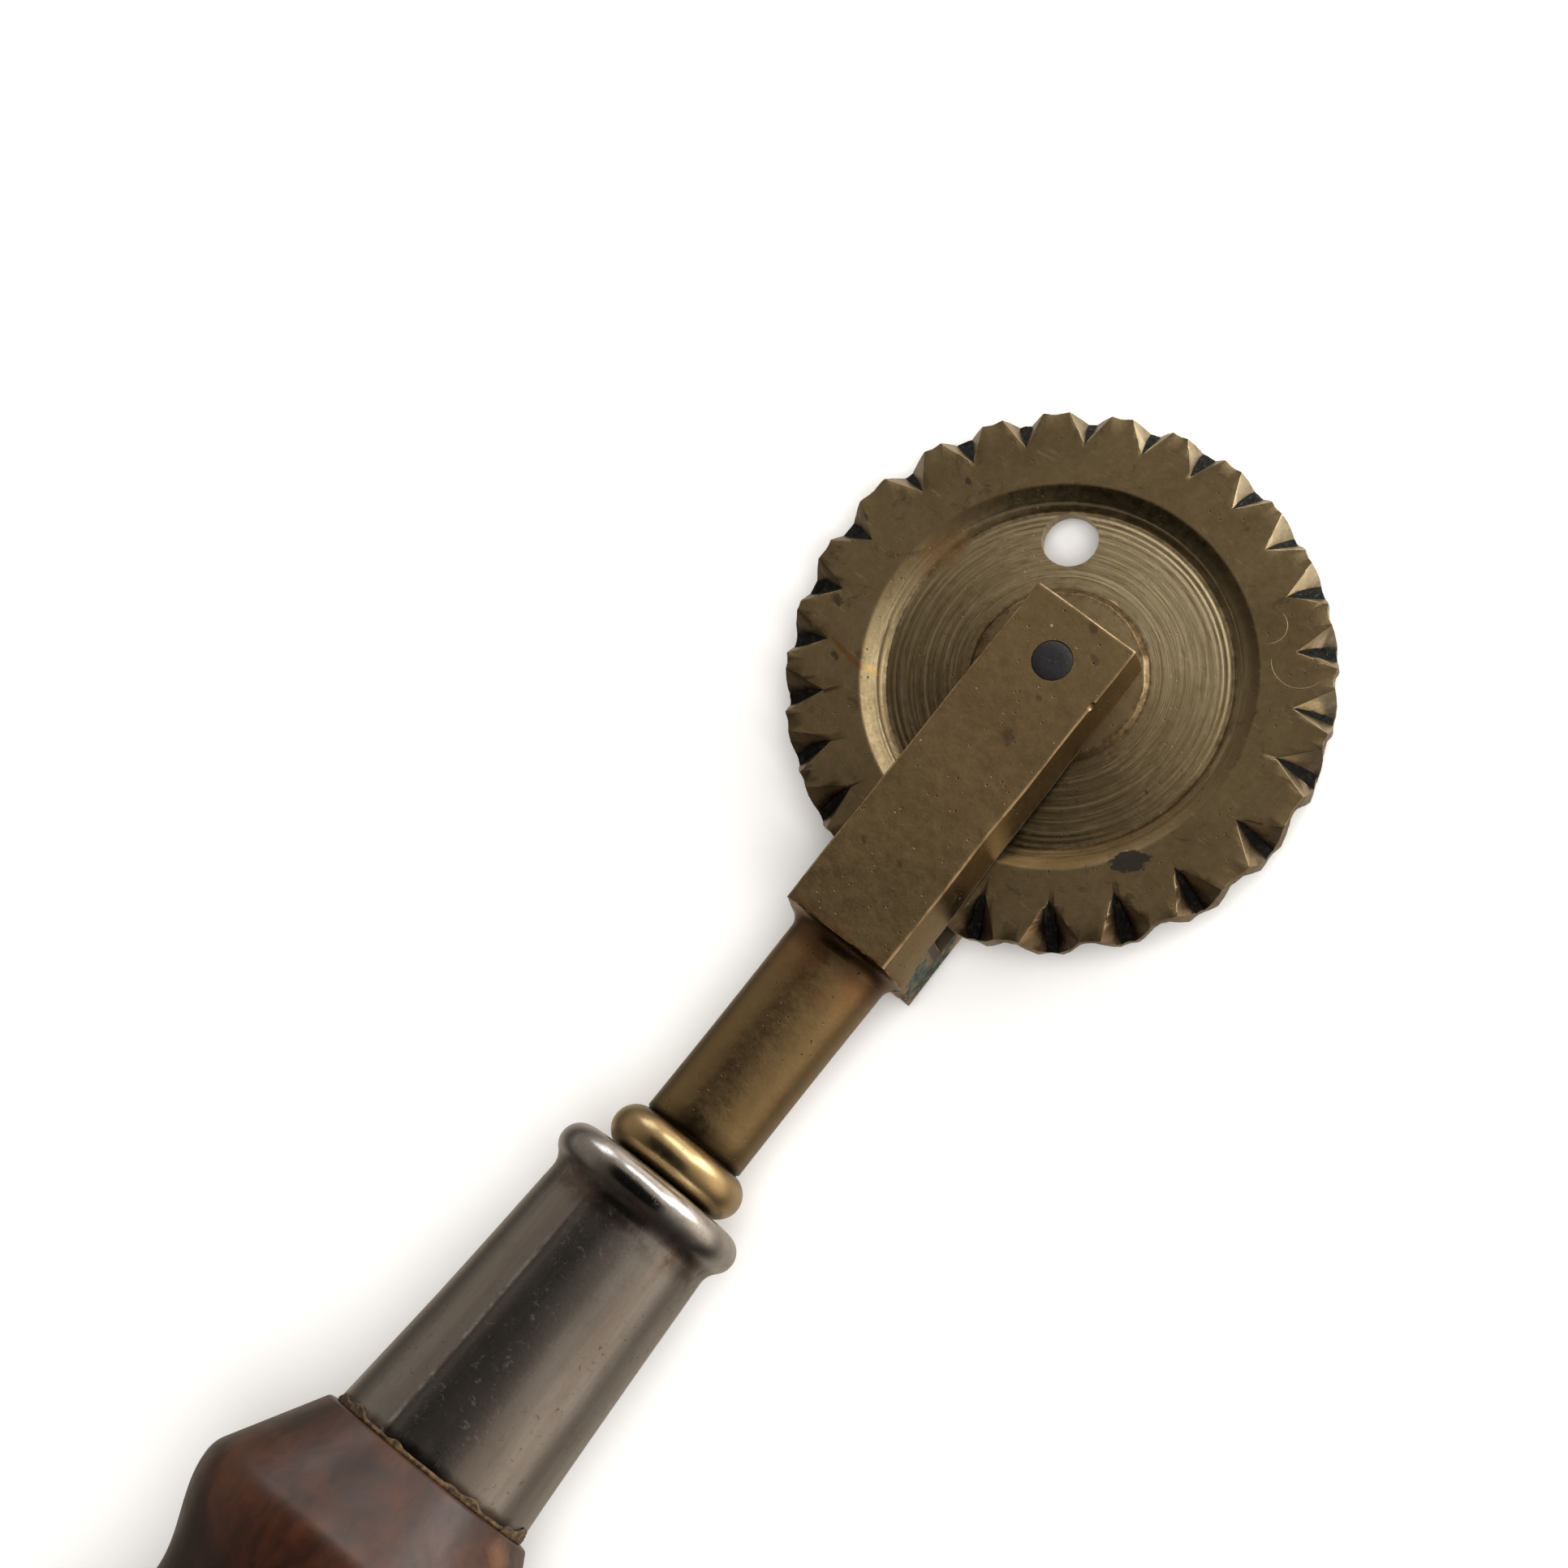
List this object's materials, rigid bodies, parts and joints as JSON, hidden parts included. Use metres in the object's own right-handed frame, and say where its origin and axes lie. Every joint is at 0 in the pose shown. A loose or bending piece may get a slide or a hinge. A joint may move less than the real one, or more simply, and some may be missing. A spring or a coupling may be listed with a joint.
{
  "type": "pastry jagger",
  "caption": "Hand tool with a notched brass wheel that rolls in a brass fork, for crimping and cutting pastry edges, on a steel ferrule and turned wooden handle.",
  "frame": {"origin": "centre of the tool's bounding box, on the tool's axis", "axes": "+X along the tool towards the wheel, +Y across it in the plane of the wheel, +Z along the axle"},
  "size_m": [0.1914, 0.045, 0.0296],
  "materials": {
    "wheel_brass": "aged, turned faces with filed notches and dark dirt",
    "pin_steel": "blackened steel, peened flush",
    "fork_brass": "aged and handled, verdigris in the slot",
    "collar_brass": "worn bright on the crown",
    "ferrule_steel": "satin, tarnished, with a brazed seam",
    "resin": "dry pitch",
    "handle_wood": "old polished hardwood"
  },
  "bodies": {
    "holder": {"axle_pin": "pin_steel", "fork": "fork_brass", "collar_ring": "collar_brass", "ferrule": "ferrule_steel", "resin_bedding": "resin", "handle": "handle_wood"},
    "roller": {"wheel": "wheel_brass"}
  },
  "joints": [
    {"name": "wheel_spin", "type": "hinge", "parent": "holder", "child": "roller", "pos_m": [0.07325, 0, 0], "axis": [0, 0, 1], "continuous": true}
  ]
}
